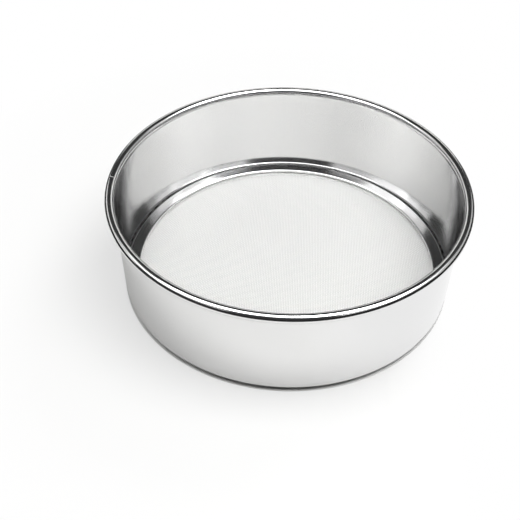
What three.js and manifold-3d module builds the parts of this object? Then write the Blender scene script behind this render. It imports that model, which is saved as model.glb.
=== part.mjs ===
// Round flour sieve of stainless steel: a rolled hoop with a wired rim, and a flat wire cloth that a
// ring clamps onto the hoop's turned-in seat. Millimetres, +Z up, origin at the centre of the base.
import * as THREE from "three";
import { mergeVertices } from "three/addons/utils/BufferGeometryUtils.js";
import Module from "manifold-3d";

// Driving dimensions of the hoop
const rimDiameter = 180; // over the rolled rim
const baseDiameter = 169; // outside of the wall at its foot, so the wall flares a little and sieves nest
const height = 54.8;
const sheet = 0.5; // thickness of the hoop's strip
const beadDiameter = 4.6; // rolled rim, over the sheet
const seatBend = 0.7; // inside radius of the bend from wall to seat
const seatWidth = 7; // from the outside of the wall to the inner edge of the seat
const hemGap = 1.7; // between the seat and the hem folded back under it
const hemWidth = 4; // from the inner edge of the seat to the hem's free edge

// Driving dimensions of the screen
const clothThickness = 0.4; // two wires where they cross
const clothPitch = 8.4; // the real weave is about twenty times finer
const clothStrand = 0.8;
const clothSelvedge = 4; // whole edge left under the retaining ring
const ringSheet = 0.5;
const ringWidth = 6.4;
const ringHeight = 1.6; // its two edges are half rounds of this height
const ringLip = 0.8; // flat lip along the foot of each edge

// Clearances
const sideFit = 0.3; // between pieces that fit inside one another
const seatFit = 0.1; // between pieces that lie on one another
const ringFit = 0.8; // between the ring and the wall, so that the ring drops in

// Fineness of the round forms
const facets = 72; // around the sieve
const beadSteps = 12;
const bendSteps = 3;
const wireSides = 8;

const steel = { color: 0xd4d7da, metalness: 1 };
const polished = new THREE.MeshStandardMaterial({ ...steel, roughness: 0.16 });
const drawnWire = new THREE.MeshStandardMaterial({ ...steel, roughness: 0.35 });
const woven = new THREE.MeshStandardMaterial({ ...steel, color: 0xe6e7e8, roughness: 0.45 });

// Section of the hoop: the circles that its centre line wraps at the bead, the foot and the hem
const beadRadius = beadDiameter / 2;
const beadTurn = beadRadius - sheet / 2;
const seatTurn = seatBend + sheet / 2;
const beadCentre = new THREE.Vector2(rimDiameter / 2 - beadRadius, height - beadRadius);
const seatBottom = sheet + hemGap;
const footInset = seatBend + sheet;
const footCentre = new THREE.Vector2(baseDiameter / 2 - footInset, seatBottom + footInset);
const hemTurn = seatBottom / 2;
const seatEdge = baseDiameter / 2 - seatWidth;
const hemCentre = new THREE.Vector2(seatEdge + hemTurn + sheet / 2, hemTurn + sheet / 2);
const rise = new THREE.Vector2().subVectors(beadCentre, footCentre);
const flare = Math.atan2(rise.x, rise.y) - Math.asin((beadTurn + seatTurn) / rise.length());

// The screen lies on the seat, the ring on the screen
const clothBottom = seatBottom + sheet + seatFit;
const ringBottom = clothBottom + clothThickness + seatFit;
const clothRadius = innerRadiusAt(clothBottom) - sideFit;
const ringOuterRadius = innerRadiusAt(ringBottom + ringHeight / 2) - ringFit;

const wasm = await Module();
wasm.setup();

// Inside radius of the hoop at a height above the seat: the bend first, then the flared wall.
function innerRadiusAt(z) {
  const bendTop = footCentre.y - seatBend * Math.sin(flare);
  if (z < bendTop) {
    return footCentre.x + Math.sqrt(seatBend ** 2 - (footCentre.y - z) ** 2);
  }
  return footCentre.x + seatBend * Math.cos(flare) + (z - bendTop) * Math.tan(flare);
}

// Points along an arc, from one angle to another, both ends included.
function arc(centre, radius, from, to, steps) {
  return Array.from({ length: steps + 1 }, (_, i) => {
    const angle = THREE.MathUtils.lerp(from, to, i / steps);
    return new THREE.Vector2(Math.cos(angle), Math.sin(angle)).multiplyScalar(radius).add(centre);
  });
}

// Direction square to a centre line at one of its points.
function squareTo(line, i) {
  const before = line[Math.max(i - 1, 0)];
  const after = line[Math.min(i + 1, line.length - 1)];
  const run = new THREE.Vector2().subVectors(after, before).normalize();
  return new THREE.Vector2(run.y, -run.x);
}

// Closed section of a bent sheet: its centre line, set off by half the thickness to both sides.
function sheetSection(line, thickness) {
  const side = (offset) => line.map((p, i) => p.clone().addScaledVector(squareTo(line, i), offset));
  const section = [...side(thickness / 2), ...side(-thickness / 2).reverse()];
  return [...section, section[0].clone()];
}

// A section of radius and height turned about the sieve's axis.
function turned(section) {
  return new THREE.LatheGeometry(section, facets).rotateX(Math.PI / 2);
}

// A flat piece cut from sheet, standing on z = 0.
function plate(shapes, thickness) {
  return new THREE.ExtrudeGeometry(shapes, {
    depth: thickness,
    bevelEnabled: false,
    curveSegments: facets,
  });
}

function disc(radius) {
  return new THREE.Shape().absarc(0, 0, radius, 0, 2 * Math.PI);
}

function square(x, y, side) {
  const half = side / 2;
  return new THREE.Shape()
    .moveTo(x - half, y - half)
    .lineTo(x + half, y - half)
    .lineTo(x + half, y + half)
    .lineTo(x - half, y + half);
}

// Solid of a closed geometry, for cutting.
function solidOf(geometry) {
  const bare = geometry.clone();
  bare.deleteAttribute("normal");
  bare.deleteAttribute("uv");
  const merged = mergeVertices(bare, 1e-4);
  return new wasm.Manifold(
    new wasm.Mesh({
      numProp: 3,
      vertProperties: merged.attributes.position.array,
      triVerts: new Uint32Array(merged.index.array),
    }),
  );
}

function geometryOf(solid) {
  const { vertProperties, triVerts } = solid.getMesh();
  const geometry = new THREE.BufferGeometry();
  geometry.setAttribute("position", new THREE.BufferAttribute(vertProperties, 3));
  geometry.setIndex(new THREE.BufferAttribute(triVerts, 1));
  geometry.computeVertexNormals();
  return geometry;
}

function piece(name, geometry, material) {
  const mesh = new THREE.Mesh(geometry, material);
  mesh.name = name;
  return mesh;
}

// The hoop's strip starts as a hem that folds back into the seat. The seat bends up into the wall, and
// the wall rolls outwards round the wire. The roll stops short of the wall by one clearance.
function frameHoop() {
  const mouth = Math.acos((beadTurn - sheet / 2 - sideFit) / beadRadius);
  const beadStart = Math.PI - flare;
  const beadEnd = beadStart - 2 * Math.PI + mouth;
  const line = [
    new THREE.Vector2(seatEdge + hemWidth, sheet / 2),
    ...arc(hemCentre, hemTurn, -Math.PI / 2, -1.5 * Math.PI, 2 * bendSteps),
    ...arc(footCentre, seatTurn, -Math.PI / 2, -flare, bendSteps),
    ...arc(beadCentre, beadTurn, beadStart, beadEnd, beadSteps),
  ];
  return turned(sheetSection(line, sheet));
}

// Stiffening wire that fills the rolled rim.
function rimWire() {
  const wireRadius = beadRadius - sheet - sideFit;
  return new THREE.TorusGeometry(beadCentre.x, wireRadius, wireSides, facets);
}

// Flat net with square openings inside a whole edge, trimmed round where it meets that edge.
function wireCloth() {
  const openRadius = clothRadius - clothSelvedge;
  const reach = Math.ceil(openRadius / clothPitch);
  const openings = [];
  for (let column = -reach; column <= reach; column += 1) {
    for (let row = -reach; row <= reach; row += 1) {
      const x = column * clothPitch;
      const y = row * clothPitch;
      if (Math.hypot(x, y) < openRadius) openings.push(square(x, y, clothPitch - clothStrand));
    }
  }
  const cutter = solidOf(plate(openings, clothThickness));
  const trimmed = cutter.intersect(solidOf(plate(disc(openRadius), clothThickness)));
  return geometryOf(solidOf(plate(disc(clothRadius), clothThickness)).subtract(trimmed));
}

// Ring with a flat top and two edges curled under, open below: its lips hold the cloth on the seat.
function retainingRing() {
  const half = ringHeight / 2;
  const turn = half - ringSheet / 2;
  const outerEdge = new THREE.Vector2(ringOuterRadius - half, half);
  const innerEdge = new THREE.Vector2(ringOuterRadius - ringWidth + half, half);
  const line = [
    new THREE.Vector2(outerEdge.x - ringLip, half - turn),
    ...arc(outerEdge, turn, -Math.PI / 2, Math.PI / 2, 2 * bendSteps),
    ...arc(innerEdge, turn, Math.PI / 2, 1.5 * Math.PI, 2 * bendSteps),
    new THREE.Vector2(innerEdge.x + ringLip, half - turn),
  ];
  return turned(sheetSection(line, ringSheet));
}

const frame = new THREE.Group();
const wire = piece("rim_wire", rimWire(), drawnWire);
wire.position.z = beadCentre.y;
frame.add(piece("frame_hoop", frameHoop(), polished), wire);

const screen = new THREE.Group();
const ring = piece("retaining_ring", retainingRing(), polished);
ring.position.z = ringBottom - clothBottom;
screen.position.z = clothBottom;
screen.add(piece("wire_cloth", wireCloth(), woven), ring);

const sieve = new THREE.Group();
sieve.name = "flour_sieve";
sieve.add(frame, screen);

export default sieve;
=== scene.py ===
"""Looks of a round flour sieve: its finishes, its woven screen and the studio it stands in."""

import logging
import math
from collections.abc import Callable, Sequence
from dataclasses import dataclass
from enum import Enum

import bpy
import numpy as np
from mathutils import Matrix, Vector


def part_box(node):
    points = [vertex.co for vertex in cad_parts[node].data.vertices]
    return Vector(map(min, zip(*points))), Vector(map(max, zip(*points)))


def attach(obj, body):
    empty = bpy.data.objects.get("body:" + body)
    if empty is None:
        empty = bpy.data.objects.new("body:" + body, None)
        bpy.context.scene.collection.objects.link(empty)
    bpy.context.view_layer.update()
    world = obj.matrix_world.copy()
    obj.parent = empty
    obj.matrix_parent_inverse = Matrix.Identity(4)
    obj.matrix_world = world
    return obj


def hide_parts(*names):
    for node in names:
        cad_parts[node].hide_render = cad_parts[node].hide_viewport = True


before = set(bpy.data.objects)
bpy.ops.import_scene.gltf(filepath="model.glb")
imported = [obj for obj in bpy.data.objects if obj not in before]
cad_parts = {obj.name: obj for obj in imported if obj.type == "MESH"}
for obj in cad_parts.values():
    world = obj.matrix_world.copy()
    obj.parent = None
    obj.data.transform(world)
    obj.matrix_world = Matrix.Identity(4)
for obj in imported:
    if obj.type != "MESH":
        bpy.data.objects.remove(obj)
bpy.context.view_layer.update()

log = logging.getLogger("flour_sieve")

BODY = "root"
MM = 0.001  # metres in a millimetre
INCH_MM = 25.4
NOISE_RANGE = {"From Min": 0.25, "From Max": 0.75}  # where most values of a noise texture lie
CARD_STEPS = 72  # stretches in a card that stands in a ring
RING_PLAY = 0.02 * MM  # between the cloth's wires and the ring on them
CLOTH_TRIM = 0.4 * MM  # cut off the cloth's edge under the ring, so that no wire runs into the hoop's bend
Point = tuple[float, float]


def linear(hex_colour: str) -> tuple[float, float, float, float]:
    """Turn an sRGB hex colour into linear RGBA.

    Args:
        hex_colour: six hex digits after a hash sign.

    Returns:
        Red, green, blue and an alpha of 1.
    """
    parts = (int(hex_colour[i : i + 2], 16) / 255 for i in (1, 3, 5))
    red, green, blue = (c / 12.92 if c <= 0.04045 else ((c + 0.055) / 1.055) ** 2.4 for c in parts)
    return red, green, blue, 1.0


def add_node(tree: bpy.types.NodeTree, kind: str, inputs: dict | None = None, **settings) -> bpy.types.Node:
    """Add a node, set it up and link its sockets.

    Args:
        tree: the node tree that gets the node.
        kind: Blender's name for the type of node.
        inputs: for each input, by name or number, a value or the output that it takes.
        settings: attributes of the node itself.

    Returns:
        The new node.
    """
    node = tree.nodes.new(kind)
    for name, value in settings.items():
        setattr(node, name, value)
    for key, value in (inputs or {}).items():
        if isinstance(value, bpy.types.NodeSocket):
            tree.links.new(value, node.inputs[key])
        else:
            node.inputs[key].default_value = value
    return node


def empty_material(name: str) -> tuple[bpy.types.Material, bpy.types.NodeTree]:
    """Make a material whose node tree is still empty.

    Args:
        name: the material's name.

    Returns:
        The material and its node tree.
    """
    material = bpy.data.materials.new(name)
    material.use_nodes = True
    material.node_tree.nodes.clear()
    return material, material.node_tree


def add_mesh(name: str, vertices: np.ndarray, faces: Sequence, sharp_deg: float = 40.0) -> bpy.types.Object:
    """Make a smooth-shaded mesh object and put it in the scene.

    Args:
        name: name of the object and its mesh.
        vertices: points in metres, one row each.
        faces: vertex numbers of each face.
        sharp_deg: edges that bend more than this stay sharp.

    Returns:
        The new object.
    """
    mesh = bpy.data.meshes.new(name)
    mesh.from_pydata(np.asarray(vertices).tolist(), [], [tuple(map(int, f)) for f in faces])
    mesh.polygons.foreach_set("use_smooth", [True] * len(mesh.polygons))
    mesh.set_sharp_from_angle(angle=math.radians(sharp_deg))
    piece = bpy.data.objects.new(name, mesh)
    bpy.context.scene.collection.objects.link(piece)
    return piece


def arc(centre: Point, radius: float, start: float, end: float, steps: int) -> list[Point]:
    """Points along an arc, both ends included.

    Args:
        centre: the arc's centre.
        radius: its radius.
        start: first angle, in radians.
        end: last angle, in radians.
        steps: number of stretches.

    Returns:
        One point more than there are steps.
    """
    angles = np.linspace(start, end, steps + 1)
    return [(centre[0] + radius * math.cos(a), centre[1] + radius * math.sin(a)) for a in angles]


def sheet_section(line: Sequence[Point], thickness: float) -> np.ndarray:
    """Outline of a bent sheet, from its centre line.

    Args:
        line: radius and height along the middle of the sheet.
        thickness: of the sheet.

    Returns:
        A closed outline, one row of radius and height for each point.
    """
    middle = np.array(line)
    run = np.gradient(middle, axis=0)
    run /= np.linalg.norm(run, axis=1, keepdims=True)
    square = np.stack([run[:, 1], -run[:, 0]], axis=1) * thickness / 2
    return np.concatenate([middle + square, (middle - square)[::-1]])


def spin(
    section: np.ndarray, angles: np.ndarray, shift: Callable | None = None
) -> tuple[np.ndarray, np.ndarray]:
    """Turn a closed section about the sieve's axis.

    Args:
        section: rows of radius and height.
        angles: where the section is set round the axis, in rising order.
        shift: gives the change of radius and of height at each angle and point.

    Returns:
        The vertices and the four-sided faces.
    """
    turn, radius = np.meshgrid(angles, section[:, 0], indexing="ij")
    height = np.broadcast_to(section[:, 1], turn.shape)
    if shift is not None:
        out, up = shift(turn, radius, height)
        radius, height = radius + out, height + up
    vertices = np.stack([radius * np.cos(turn), radius * np.sin(turn), height], axis=-1)
    count, points = turn.shape
    here = np.arange(count * points).reshape(count, points)
    there, onward = np.roll(here, -1, axis=0), np.roll(here, -1, axis=1)
    both = np.roll(there, -1, axis=1)
    faces = np.stack([here, there, both, onward], axis=-1)
    return vertices.reshape(-1, 3), faces.reshape(-1, 4)


class Lay(Enum):
    """Which way a set of wires runs in the cloth."""

    WARP = "warp"
    WEFT = "weft"


class Side(Enum):
    """Side of the hoop's strip, with the number of its material."""

    OUTSIDE = 0
    INSIDE = 1
    UNDERSIDE = 2


@dataclass(frozen=True)
class PolishedSheet:
    """Stainless sheet, cold rolled bright and polished as the hoop turned.

    It mirrors the studio a little softly, and faint lines run round it.
    """

    name: str = "polished_stainless_sheet"
    # lighter than the inside copy of this steel, whose darker colour is painted shade
    colour: str = "#E8E8E8"
    edge_colour: str = "#FFFFFF"  # darker where the sheet mirrors less at a low angle
    roughness: float = 0.13
    roughness_spread: float = 0.07
    line_width_mm: float = 0.5  # real polishing lines are about 0.05 wide, too fine to show
    line_length_mm: float = 45.0
    line_detail: float = 3.0
    smudge_mm: float = 26.0
    smudge_share: float = 0.45  # of smudges in the roughness, the rest being lines
    bump_mm: float = 0.004

    def material(self) -> bpy.types.Material:
        """Build the finish.

        Returns:
            The material, with its polishing lines in the roughness and the bump.
        """
        material, tree = empty_material(self.name)
        place = add_node(tree, "ShaderNodeTexCoord").outputs["Object"]
        axes = add_node(tree, "ShaderNodeSeparateXYZ", {0: place}).outputs
        flat = add_node(tree, "ShaderNodeVectorMath", {0: place, 1: (1, 1, 0)}, operation="MULTIPLY")
        across = add_node(tree, "ShaderNodeVectorMath", {0: flat.outputs[0]}, operation="LENGTH")
        radius = across.outputs["Value"]
        angle = add_node(tree, "ShaderNodeMath", {0: axes["Y"], 1: axes["X"]}, operation="ARCTAN2").outputs[0]
        around = add_node(tree, "ShaderNodeMath", {0: angle, 1: radius}, operation="MULTIPLY").outputs[0]
        polar = add_node(tree, "ShaderNodeCombineXYZ", {0: radius, 1: axes["Z"], 2: around}).outputs[0]
        fine, long = 1 / (self.line_width_mm * MM), 1 / (self.line_length_mm * MM)
        drawn = {0: polar, 1: (fine, fine, long)}
        stretched = add_node(tree, "ShaderNodeVectorMath", drawn, operation="MULTIPLY").outputs[0]
        streaks = {"Vector": stretched, "Scale": 1.0, "Detail": self.line_detail}
        lines = add_node(tree, "ShaderNodeTexNoise", streaks).outputs["Fac"]
        prints = {"Vector": place, "Scale": 1 / (self.smudge_mm * MM)}
        smudges = add_node(tree, "ShaderNodeTexNoise", prints).outputs["Fac"]
        both = add_node(tree, "ShaderNodeMix", {0: self.smudge_share, 2: lines, 3: smudges}).outputs[0]
        low, high = self.roughness - self.roughness_spread / 2, self.roughness + self.roughness_spread / 2
        spread = {**NOISE_RANGE, "To Min": low, "To Max": high, "Value": both}
        rough = add_node(tree, "ShaderNodeMapRange", spread).outputs[0]
        relief = {"Height": lines, "Distance": self.bump_mm * MM, "Strength": 1.0}
        bump = add_node(tree, "ShaderNodeBump", relief)
        metal = add_node(
            tree,
            "ShaderNodeBsdfPrincipled",
            {
                "Base Color": linear(self.colour),
                "Specular Tint": linear(self.edge_colour),
                "Metallic": 1.0,
                "Roughness": rough,
                "Normal": bump.outputs[0],
            },
        )
        add_node(tree, "ShaderNodeOutputMaterial", {"Surface": metal.outputs[0]})
        return material


@dataclass(frozen=True)
class MillSheet:
    """Stainless sheet as it left the mill, pickled and dull, on the underside that nobody polished; its dark
    grey is partly painted shade, darkening the gap under the foot.
    """

    name: str = "mill_sheet_painted_shade"
    # darker than mill-finish steel is: painted shade in the gap under the foot
    colour: str = "#727271"
    roughness: float = 0.45
    roughness_spread: float = 0.2
    mottle_mm: float = 3.0  # pickling mottle

    def material(self) -> bpy.types.Material:
        """Build the finish.

        Returns:
            The material, a dull grey metal with a soft mottle.
        """
        material, tree = empty_material(self.name)
        place = add_node(tree, "ShaderNodeTexCoord").outputs["Object"]
        mottle = add_node(tree, "ShaderNodeTexNoise", {"Vector": place, "Scale": 1 / (self.mottle_mm * MM)})
        low, high = self.roughness - self.roughness_spread / 2, self.roughness + self.roughness_spread / 2
        spread = {"To Min": low, "To Max": high, "Value": mottle.outputs["Fac"]}
        rough = add_node(tree, "ShaderNodeMapRange", spread).outputs[0]
        metal = add_node(
            tree,
            "ShaderNodeBsdfPrincipled",
            {"Base Color": linear(self.colour), "Metallic": 1.0, "Roughness": rough},
        )
        add_node(tree, "ShaderNodeOutputMaterial", {"Surface": metal.outputs[0]})
        return material


@dataclass(frozen=True)
class DrawnWire:
    """Stainless wire, drawn through a die: satin, with lines along it."""

    name: str = "drawn_stainless_wire"
    colour: str = "#F6F6F5"
    roughness: float = 0.55
    roughness_spread: float = 0.16
    grain_mm: float = 0.8  # die lines are finer than the eye sees

    def material(self) -> bpy.types.Material:
        """Build the finish.

        Returns:
            The material, a satin metal with a slight grain.
        """
        material, tree = empty_material(self.name)
        place = add_node(tree, "ShaderNodeTexCoord").outputs["Object"]
        grain = add_node(tree, "ShaderNodeTexNoise", {"Vector": place, "Scale": 1 / (self.grain_mm * MM)})
        low, high = self.roughness - self.roughness_spread / 2, self.roughness + self.roughness_spread / 2
        spread = {"To Min": low, "To Max": high, "Value": grain.outputs["Fac"]}
        rough = add_node(tree, "ShaderNodeMapRange", spread).outputs[0]
        metal = add_node(
            tree,
            "ShaderNodeBsdfPrincipled",
            {"Base Color": linear(self.colour), "Metallic": 1.0, "Roughness": rough},
        )
        add_node(tree, "ShaderNodeOutputMaterial", {"Surface": metal.outputs[0]})
        return material


@dataclass(frozen=True)
class MattSweep:
    """White matt paper sweep under the sieve, burnt out to white away from it, and painted white at once on
    its right as painted light from the right.
    """

    name: str = "matt_white_sweep"
    colour: str = "#CACAC9"
    foot_mm: float = 84.5  # radius inside which the paper stays matt
    eye_share: float = 0.52  # of white in what the eye sees from there on
    metal_share: float = 0.0  # the same for what metal mirrors
    eye_mm: tuple[float, float] = (110.0, 235.0)  # from the axis: where the eye's white grows, and is full
    metal_mm: tuple[float, float] = (118.0, 172.0)  # the same for what metal mirrors
    right_mm: tuple[float, float] = (15.0, 80.0)  # painted light: to the right of the axis, where the paper's painted white grows, and is full

    def material(self) -> bpy.types.Material:
        """Build the finish.

        Returns:
            The material: matt paper that keeps the sieve's shadow and turns to plain white further out, and
                painted white to the right of the sieve as painted light.
        """
        material, tree = empty_material(self.name)
        paper = add_node(tree, "ShaderNodeBsdfDiffuse", {"Color": linear(self.colour)})
        white = add_node(tree, "ShaderNodeEmission", {"Color": (1, 1, 1, 1), "Strength": 1.0})
        place = add_node(tree, "ShaderNodeTexCoord").outputs["Object"]
        right = add_node(tree, "ShaderNodeSeparateXYZ", {0: place}).outputs["X"]
        away = add_node(tree, "ShaderNodeVectorMath", {0: place}, operation="LENGTH").outputs["Value"]
        path = add_node(tree, "ShaderNodeLightPath").outputs
        eye = path["Is Camera Ray"]
        mirrored = {0: path["Is Glossy Ray"], 1: path["Is Transmission Ray"]}
        metal = add_node(tree, "ShaderNodeMath", mirrored, operation="MAXIMUM").outputs[0]
        # painted light: the paper turns white at once to the right of the sieve, for the eye and for metal
        # alike
        near, far = (limit * MM for limit in self.right_mm)
        growth = {"From Min": near, "From Max": far, "Value": right}
        burnt = add_node(tree, "ShaderNodeMapRange", growth).outputs[0]
        shares = []
        for ray, low, reach in ((eye, self.eye_share, self.eye_mm), (metal, self.metal_share, self.metal_mm)):
            near, far = (limit * MM for limit in reach)
            growth = {"From Min": near, "From Max": far, "To Min": low, "Value": away}
            fade = add_node(tree, "ShaderNodeMapRange", growth).outputs[0]
            either = add_node(tree, "ShaderNodeMath", {0: fade, 1: burnt}, operation="MAXIMUM").outputs[0]
            share = add_node(tree, "ShaderNodeMath", {0: either, 1: ray}, operation="MULTIPLY").outputs[0]
            shares.append(share)
        seen = add_node(tree, "ShaderNodeMath", {0: shares[0], 1: shares[1]}, operation="MAXIMUM").outputs[0]
        past_foot = {0: away, 1: self.foot_mm * MM}
        outside = add_node(tree, "ShaderNodeMath", past_foot, operation="GREATER_THAN").outputs[0]
        share = add_node(tree, "ShaderNodeMath", {0: seen, 1: outside}, operation="MULTIPLY").outputs[0]
        mixed = add_node(tree, "ShaderNodeMixShader", {0: share, 1: paper.outputs[0], 2: white.outputs[0]})
        add_node(tree, "ShaderNodeOutputMaterial", {"Surface": mixed.outputs[0]})
        return material


@dataclass
class Hoop:
    """The side wall: one strip with a rolled bead at the top and a hemmed, turned-in seat at the foot."""

    rim_radius: float
    height: float
    foot_radius: float = 84.5 * MM
    sheet: float = 0.5 * MM
    bead_radius: float = 2.3 * MM
    bead_mouth: float = 0.3 * MM
    ease_radius: float = 10.0 * MM  # wider bend that leads from the wall into the roll
    ease_deg: float = 15.0
    seat_bend: float = 0.7 * MM
    seat_width: float = 7.0 * MM
    hem_gap: float = 1.7 * MM
    hem_width: float = 4.0 * MM
    facets: int = 480
    hem_steps: int = 10
    bend_steps: int = 6
    wall_steps: int = 9
    ease_steps: int = 8
    roll_steps: int = 44
    seam_deg: float = 179.0  # where the strip's ends meet
    seam_width: float = 0.4 * MM
    seam_notch: float = 0.1 * MM
    seam_reach: float = 5.0  # seam widths to either side that get a finer mesh
    seam_points: int = 31
    wave: float = 0.03 * MM
    ripples: tuple[tuple[float, int, float, float], ...] = (  # size, count, start and slant of each
        (1.0, 3, 0.7, 0.0),
        (0.7, 5, 2.1, 40.0),
        (0.35, 11, 0.0, 70.0),
        (0.2, 17, 0.0, -110.0),
        (0.25, 43, 0.0, 130.0),
        (0.2, 71, 1.3, -90.0),
    )

    def centre_line(self) -> list[Point]:
        """Middle of the strip, from the hem's free edge to the end of the roll.

        Returns:
            Radius and height along the strip.
        """
        bead_turn = self.bead_radius - self.sheet / 2
        foot_turn = self.seat_bend + self.sheet / 2
        hem_turn = (self.sheet + self.hem_gap) / 2
        inset = self.seat_bend + self.sheet
        seat_edge = self.foot_radius - self.seat_width
        bead = (self.rim_radius - self.bead_radius, self.height - self.bead_radius)
        foot = (self.foot_radius - inset, 2 * hem_turn + inset)
        fold = (seat_edge + hem_turn + self.sheet / 2, hem_turn + self.sheet / 2)
        out, up = bead[0] - foot[0], bead[1] - foot[1]
        flare = math.atan2(out, up) - math.asin((bead_turn + foot_turn) / math.hypot(out, up))
        mouth = math.acos((bead_turn - self.sheet / 2 - self.bead_mouth) / self.bead_radius)
        start = math.pi - flare
        hem = [(seat_edge + self.hem_width, self.sheet / 2)]
        hem += arc(fold, hem_turn, -math.pi / 2, -1.5 * math.pi, self.hem_steps)
        bend = arc(foot, foot_turn, -math.pi / 2, -flare, self.bend_steps)
        turned = start - math.radians(self.ease_deg)
        roll = arc(bead, bead_turn, turned, start - 2 * math.pi + mouth, self.roll_steps)
        back = bead_turn - self.ease_radius
        eased = (bead[0] + back * math.cos(turned), bead[1] + back * math.sin(turned))
        ease = arc(eased, self.ease_radius, start, turned, self.ease_steps)[:-1]
        top, low = np.array(ease[0]), np.array(bend[-1])
        wall = [tuple(low + (top - low) * t) for t in np.linspace(0, 1, self.wall_steps + 1)[1:-1]]
        return [*hem, *bend, *wall, *ease, *roll]

    def angles(self) -> np.ndarray:
        """Places round the axis, closer together at the seam.

        Returns:
            Angles in rising order.
        """
        even = np.arange(self.facets) * 2 * math.pi / self.facets
        reach = self.seam_reach * self.seam_width / self.rim_radius
        close = math.radians(self.seam_deg) + np.linspace(-reach, reach, self.seam_points)
        return np.unique(np.concatenate([even, close]).round(7))  # rounded, so that no two nearly meet

    def unevenness(
        self, turn: np.ndarray, radius: np.ndarray, height: np.ndarray
    ) -> tuple[np.ndarray, np.ndarray]:
        """How far the rolled strip departs from a true turned form.

        Args:
            turn: angle of each point.
            radius: its radius.
            height: its height.

        Returns:
            The change of radius and of height: a slight waviness, and a nick where the strip's ends meet.
        """
        waves = np.zeros(turn.shape)
        for size, count, begin, slant in self.ripples:
            waves += size * np.sin(count * turn + begin + slant * height)
        share = np.clip(height / self.height, 0, 1)
        across = (turn - math.radians(self.seam_deg)) * self.rim_radius / self.seam_width
        nick = np.exp(-(across**2)) * self.seam_notch
        bead = (self.rim_radius - self.bead_radius, self.height - self.bead_radius)
        out, up = radius - bead[0], height - bead[1]
        far = np.maximum(np.hypot(out, up), self.sheet)
        beside_bead = 1.2 * self.bead_radius  # takes in the whole roll, waves and all
        rolled = (np.hypot(out, up) < beside_bead) & (out > -self.bead_radius / 2)
        pull = np.where(rolled, nick, 0)
        return self.wave * waves * share - pull * out / far, -pull * up / far

    def build(
        self, outside: bpy.types.Material, inside: bpy.types.Material, underside: bpy.types.Material
    ) -> bpy.types.Object:
        """Make the hoop in place of its solid.

        Args:
            outside: material of the sheet's outer face.
            inside: material of its inner face.
            underside: material of the hem and the underside of the seat.

        Returns:
            The hoop.
        """
        section = sheet_section(self.centre_line(), self.sheet)
        piece = add_mesh("hoop", *spin(section, self.angles(), self.unevenness))
        for finish in (outside, inside, underside):
            piece.data.materials.append(finish)
        seat_top = 2 * self.sheet + self.hem_gap
        bend_start = self.foot_radius - self.sheet - self.seat_bend
        for face in piece.data.polygons:
            if face.center.z < seat_top and face.center.xy.length < bend_start:
                face.material_index = Side.UNDERSIDE.value
            elif face.normal.xy.dot(face.center.xy) < 0:
                face.material_index = Side.INSIDE.value
        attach(piece, BODY)
        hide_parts("frame_hoop")
        return piece


@dataclass
class ClampRing:
    """The flat ring, with its edges curled under, that holds the cloth down on the seat."""

    outer_radius: float
    bottom: float
    top: float
    width: float = 6.4 * MM
    sheet: float = 0.5 * MM
    lip: float = 0.8 * MM
    facets: int = 288
    edge_steps: int = 20

    def build(self, finish: bpy.types.Material) -> bpy.types.Object:
        """Make the ring in place of its solid.

        Args:
            finish: material of the sheet.

        Returns:
            The ring.
        """
        half = (self.top - self.bottom) / 2
        turn, middle = half - self.sheet / 2, self.bottom + half
        outer, inner = (self.outer_radius - half, middle), (self.outer_radius - self.width + half, middle)
        line = [(outer[0] - self.lip, middle - turn)]
        line += arc(outer, turn, -math.pi / 2, math.pi / 2, self.edge_steps)
        line += arc(inner, turn, math.pi / 2, 1.5 * math.pi, self.edge_steps)
        line += [(inner[0] + self.lip, middle - turn)]
        angles = np.arange(self.facets) * 2 * math.pi / self.facets
        piece = add_mesh("clamp_ring", *spin(sheet_section(line, self.sheet), angles))
        piece.data.materials.append(finish)
        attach(piece, BODY)
        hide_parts("retaining_ring")
        return piece


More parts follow.
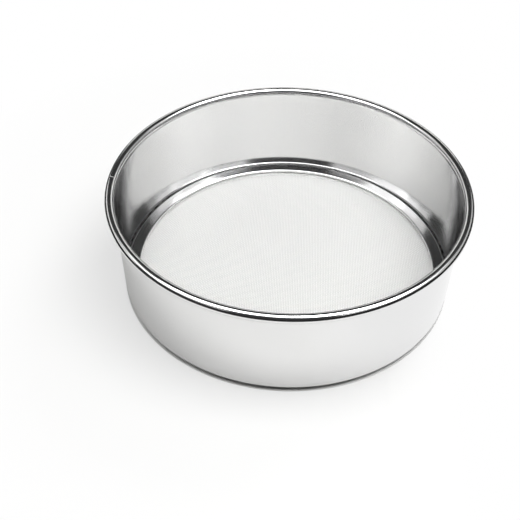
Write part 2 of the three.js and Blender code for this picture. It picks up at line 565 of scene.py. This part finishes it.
@dataclass
class WireCloth:
    """The screen: plain weave of fine wire, held flat."""

    radius: float
    middle: float
    wires_per_inch: float = 60.0
    coarser: float = 2.0  # drawn this much coarser, because single wires are too fine to show
    wire_share: float = 0.45  # wire diameter over wire spacing
    sides: int = 3

    @property
    def pitch(self) -> float:
        """Spacing of the wires as drawn."""
        return INCH_MM * MM / self.wires_per_inch * self.coarser

    @property
    def crest(self) -> float:
        """Height that the wires reach where one goes over another."""
        return self.middle + self.pitch * self.wire_share

    def wires(self, lay: Lay) -> tuple[np.ndarray, list[tuple[int, ...]]]:
        """Every wire that runs one way, each a closed tube that goes over and under the others.

        Args:
            lay: which way the wires run.

        Returns:
            The vertices and faces of all of them.
        """
        pitch, radius = self.pitch, self.pitch * self.wire_share / 2
        reach = int(self.radius / pitch)
        round_wire = np.arange(self.sides) * 2 * math.pi / self.sides + math.pi / 2
        side, lift = radius * np.cos(round_wire), radius * np.sin(round_wire)
        phase = 1 if lay is Lay.WARP else -1
        points, faces, first = [], [], 0
        for row in range(-reach, reach + 1):
            across = row * pitch
            half = math.sqrt(max(self.radius**2 - across**2, 0))
            last = int(half / pitch)
            if last < 1:
                continue
            crossings = np.arange(-last, last + 1)
            wave = phase * radius * np.where((crossings + row) % 2, -1, 1)
            along = np.repeat((crossings * pitch)[:, None], self.sides, axis=1)
            beside = np.broadcast_to(across + side, along.shape)
            up = self.middle + wave[:, None] + lift
            order = (beside, along, up) if lay is Lay.WARP else (along, beside, up)
            points.append(np.stack(order, axis=-1).reshape(-1, 3))
            rings = first + np.arange(along.size).reshape(along.shape)
            first += along.size
            low, high = rings[:-1], rings[1:]
            walls = np.stack([low, np.roll(low, -1, 1), np.roll(high, -1, 1), high], axis=-1).reshape(-1, 4)
            ends = [rings[0][::-1], rings[-1]]
            turned = walls if lay is Lay.WEFT else walls[:, ::-1]
            caps = ends if lay is Lay.WEFT else [e[::-1] for e in ends]
            faces += [tuple(f) for f in turned] + [tuple(c) for c in caps]
        return np.concatenate(points), faces

    def build(self, finish: bpy.types.Material) -> list[bpy.types.Object]:
        """Make the two sets of wires in place of the flat net.

        Args:
            finish: material of the wire.

        Returns:
            The warp wires and the weft wires.
        """
        pieces = []
        for lay in Lay:
            piece = add_mesh(f"cloth_{lay.value}", *self.wires(lay), sharp_deg=180.0)
            piece.data.materials.append(finish)
            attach(piece, BODY)
            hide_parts("wire_cloth")
            pieces.append(piece)
        return pieces


@dataclass
class PhotoCamera:
    """Camera fitted to the sieve's rim, foot and ring in the photograph."""

    elevation_deg: float = 40.45
    distance: float = 446.5 * MM
    pivot_height: float = 31.2 * MM
    aim: tuple[float, float, float] = (-13.83 * MM, 0.0, 3.47 * MM)
    roll_deg: float = 0.64
    focal_px: float = 877.5
    frame_px: int = 520
    sensor_mm: float = 36.0
    nearest: float = 10.0 * MM  # nothing closer than this is drawn

    def build(self) -> bpy.types.Object:
        """Place the camera and make it the scene's own.

        Returns:
            The camera.
        """
        tilt, roll = math.radians(self.elevation_deg), math.radians(self.roll_deg)
        back, rise = self.distance * math.cos(tilt), self.distance * math.sin(tilt)
        place = Vector((0, -back, self.pivot_height + rise))
        forward = (Vector(self.aim) - place).normalized()
        level = forward.cross(Vector((0, 0, 1))).normalized()
        upright = level.cross(forward)
        right = math.cos(roll) * level + math.sin(roll) * upright
        up = math.cos(roll) * upright - math.sin(roll) * level
        data = bpy.data.cameras.new("photo_camera")
        data.sensor_width = self.sensor_mm
        data.lens = self.sensor_mm * self.focal_px / self.frame_px
        data.clip_start = self.nearest
        camera = bpy.data.objects.new("photo_camera", data)
        turn = Matrix((right, up, -forward)).transposed().to_4x4()
        camera.matrix_world = Matrix.Translation(place) @ turn
        bpy.context.scene.collection.objects.link(camera)
        bpy.context.scene.camera = camera
        return camera


@dataclass(frozen=True)
class Softbox:
    """A rectangular studio light, which faces the point that it aims at."""

    name: str
    place: tuple[float, float, float]
    size: tuple[float, float]
    power: float
    aim: tuple[float, float, float] = (0.0, 0.0, 0.02)
    mirrored: bool = True  # whether polished metal shows it

    def build(self) -> bpy.types.Object:
        """Hang the light.

        Returns:
            The light.
        """
        data = bpy.data.lights.new(self.name, "AREA")
        data.shape = "RECTANGLE"
        data.size, data.size_y = self.size
        data.energy = self.power
        light = bpy.data.objects.new(self.name, data)
        light.visible_glossy = self.mirrored
        light.location = self.place
        light.rotation_euler = (Vector(self.place) - Vector(self.aim)).to_track_quat("Z", "Y").to_euler()
        bpy.context.scene.collection.objects.link(light)
        return light


@dataclass(frozen=True)
class Card:
    """An upright card beside the sieve, out of the camera's sight, that polished metal mirrors."""

    name: str
    colour: str
    foot: tuple[Point, ...]
    top: float

    def build(self) -> bpy.types.Object:
        """Stand the card on the floor.

        Returns:
            The card, which neither shades nor lights anything.
        """
        line, count = np.array(self.foot), len(self.foot)
        low = np.column_stack([line, np.zeros(count)])
        high = np.column_stack([line, np.full(count, self.top)])
        sides = [(i, i + 1, count + i + 1, count + i) for i in range(count - 1)]
        card = add_mesh(self.name, np.concatenate([low, high]), sides)
        material, tree = empty_material(self.name)
        paper = add_node(tree, "ShaderNodeBsdfDiffuse", {"Color": linear(self.colour)})
        add_node(tree, "ShaderNodeOutputMaterial", {"Surface": paper.outputs[0]})
        card.data.materials.append(material)
        card.visible_camera = card.visible_diffuse = card.visible_shadow = False
        return card


@dataclass
class Studio:
    """White sweep, dim room, softboxes and the cards that give polished steel its dark and pale lines."""

    floor_radius: float = 4.0
    floor_drop: float = 0.05 * MM
    cove: float = 0.9  # the sweep curves up this far at its edge
    room_colour: str = "#FFFFFF"
    room_strength: float = 0.04
    softboxes: tuple[Softbox, ...] = (
        # overhead and wide, for the screen and the floor
        Softbox("wide_box", (-0.35, -0.2, 1.04), (2.7, 0.7), 9.4, (-0.35, -0.2, 0.0)),
        Softbox("far_box", (1.35, -0.2, 1.04), (0.7, 0.7), 1.16, (1.35, -0.2, 0.0)),
        # towards the front and the ends, for the inner wall
        Softbox("right_front_box", (1.11, -0.93, 1.04), (0.95, 0.19), 0.68),
        Softbox("right_side_box", (1.43, -0.25, 1.04), (0.95, 0.19), 0.34),
        Softbox("left_front_box", (-1.11, -0.93, 1.04), (0.95, 0.19), 0.56),
        Softbox("right_end_box", (1.2, 0.33, 1.04), (0.5, 0.36), 0.36, (1.2, 0.33, 0.0)),
        Softbox("left_end_box", (-1.25, 0.3, 1.04), (0.5, 0.3), 0.26, (-1.25, 0.3, 0.0)),
        # for the pale lines on the ring
        Softbox("right_ring_box", (0.95, -0.8, 1.04), (0.85, 0.13), 0.2),
        Softbox("left_ring_box", (-0.95, -0.8, 1.04), (0.85, 0.13), 0.2),
        # overhead, for the screen
        Softbox("top_box", (0.15, -0.125, 1.02), (1.7, 0.65), 9.9, (0.15, -0.125, 0.0)),
        Softbox("right_box", (0.45, -0.125, 1.0), (0.8, 0.65), 5.9, (0.45, -0.125, 0.0)),
        # at the back, for the ends of the ring
        Softbox("left_strip", (-0.9, 0.42, 0.48), (1.0, 0.22), 0.7),
        Softbox("left_box", (-0.8, 0.26, 0.82), (0.55, 0.3), 0.52),
        Softbox("right_back_box", (0.8, 0.26, 0.82), (0.55, 0.3), 0.25),
        Softbox("right_strip", (0.9, 0.42, 0.5), (1.0, 0.26), 0.5),
        # for the soft shadow at the front left
        Softbox("shadow_light", (0.8, 1.0, 1.0), (0.6, 0.6), 7.0, mirrored=False),
    )
    cards: tuple[Card, ...] = (
        Card(
            "black_card", "#2A2A2A", tuple(arc((0.0, 0.0), 200.0 * MM, 0.0, math.tau, CARD_STEPS)), 75.0 * MM
        ),
        Card("white_card", "#F4F4F3", ((-220.0 * MM, 320.0 * MM), (220.0 * MM, 320.0 * MM)), 220.0 * MM),
    )

    def build(self) -> None:
        """Set up the floor, the room's light, the softboxes and the cards."""
        self.sweep()
        world = bpy.data.worlds.new("room")
        world.use_nodes = True
        tree = world.node_tree
        tree.nodes.clear()
        room = add_node(
            tree, "ShaderNodeBackground", {"Color": linear(self.room_colour), "Strength": self.room_strength}
        )
        add_node(tree, "ShaderNodeOutputWorld", {"Surface": room.outputs[0]})
        bpy.context.scene.world = world
        bpy.context.scene.view_settings.view_transform = "Standard"
        for item in (*self.softboxes, *self.cards):
            item.build()

    def sweep(self, turns: int = 96, steps: int = 12) -> bpy.types.Object:
        """Lay the paper under the sieve and curve it up all round.

        Args:
            turns: points round each ring of the mesh.
            steps: rings in the curve.

        Returns:
            The floor.
        """
        edge = arc((self.floor_radius, self.cove), self.cove, -math.pi / 2, 0.0, steps)
        rings = [arc((0.0, 0.0), radius, 0.0, 2 * math.pi, turns)[:-1] for radius, _ in edge]
        points = [(x, y, z - self.floor_drop) for ring, (_, z) in zip(rings, edge) for x, y in ring]
        here = np.arange(len(points)).reshape(-1, turns)
        onward = np.roll(here, -1, axis=1)
        curve = np.stack([here[:-1], onward[:-1], onward[1:], here[1:]], axis=-1).reshape(-1, 4)
        floor = add_mesh("floor", np.array(points), [tuple(here[0]), *curve])
        floor.data.materials.append(MattSweep().material())
        return floor


def main() -> None:
    """Build the sieve's pieces around its solids, then the studio and the camera."""
    logging.basicConfig(level=logging.INFO, format="%(name)s: %(message)s")
    sheet, wire = PolishedSheet().material(), DrawnWire().material()
    hoop_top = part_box("frame_hoop")[1]
    ring_low, ring_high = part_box("retaining_ring")
    cloth_low, cloth_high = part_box("wire_cloth")
    # painted shade: the inside is the same steel as the outside, set darker, and darker still at a low angle,
    # so the inner wall mirrors less
    inside = PolishedSheet("inside_steel_painted_shade", colour="#DEDEDE", edge_colour="#C8C8C8").material()
    hoop = Hoop(rim_radius=hoop_top.x, height=hoop_top.z).build(sheet, inside, MillSheet().material())
    screen = WireCloth(radius=cloth_high.x - CLOTH_TRIM, middle=(cloth_low.z + cloth_high.z) / 2)
    # woven wires stand higher than the flat net, and the ring lies on them
    lift = screen.crest + RING_PLAY - ring_low.z
    ring = ClampRing(outer_radius=ring_high.x, bottom=ring_low.z + lift, top=ring_high.z + lift).build(sheet)
    cloth = screen.build(wire)
    rim_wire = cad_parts["rim_wire"]
    rim_wire.data.materials.clear()
    rim_wire.data.materials.append(wire)
    for piece in (hoop, ring, *cloth, rim_wire):
        log.info("%s: %d faces", piece.name, len(piece.data.polygons))
    Studio().build()
    PhotoCamera().build()


if __name__ == "__main__":
    main()
